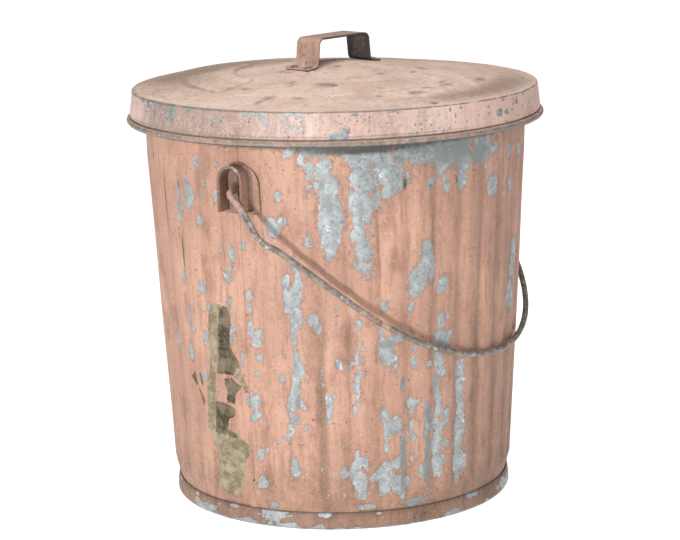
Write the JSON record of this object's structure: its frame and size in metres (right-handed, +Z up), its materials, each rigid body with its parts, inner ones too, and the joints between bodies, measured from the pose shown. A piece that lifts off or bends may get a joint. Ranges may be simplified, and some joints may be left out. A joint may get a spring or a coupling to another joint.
{
  "type": "trash can",
  "caption": "Tapered, fluted sheet-steel pail with a cap lid, strap handle on the lid and a wire bail hooked into side ears, its paint worn to bare zinc.",
  "frame": {"origin": "centre of the foot, on the surface that the can stands on", "axes": "+Z up; the bail's pins lie on X; the bail hangs towards -Y"},
  "size_m": [0.4428, 0.41, 0.4529],
  "materials": {
    "painted_wall": "aged satin paint, chipped to galvanised steel",
    "painted_foot": "aged satin paint, worn at the edge",
    "painted_ear": "aged satin paint over pressed steel",
    "painted_lid_top": "aged dusty paint with streaks of dirt",
    "painted_skirt": "aged satin paint, chipped at its edges",
    "painted_handle": "aged satin paint, worn dark at its edges",
    "bail_wire": "dull bare wire with traces of paint",
    "zinc_sheet": "dull galvanised",
    "zinc_wire": "dull galvanised",
    "rivets": "dull, with traces of paint"
  },
  "bodies": {
    "root": {"side_wall": "painted_wall", "rim_wire": "zinc_wire", "bottom_pan": "zinc_sheet", "foot_band": "painted_foot", "foot_wire": "zinc_wire", "ear_left": "painted_ear", "ear_right": "painted_ear"},
    "bail": {"bail": "bail_wire"},
    "lid": {"lid_top": "painted_lid_top", "lid_skirt": "painted_skirt", "lid_wire": "zinc_wire", "lid_handle": "painted_handle", "handle_rivets": "rivets"}
  },
  "joints": [
    {"name": "bail_swing", "type": "hinge", "parent": "root", "child": "bail", "pos_m": [0, 0, 0.33], "axis": [-1, 0, 0], "range_deg": [0, 268.5]},
    {"name": "lid_lift", "type": "slide", "parent": "root", "child": "lid", "axis": [0, 0, 1], "range_m": [0, 0.12]}
  ]
}
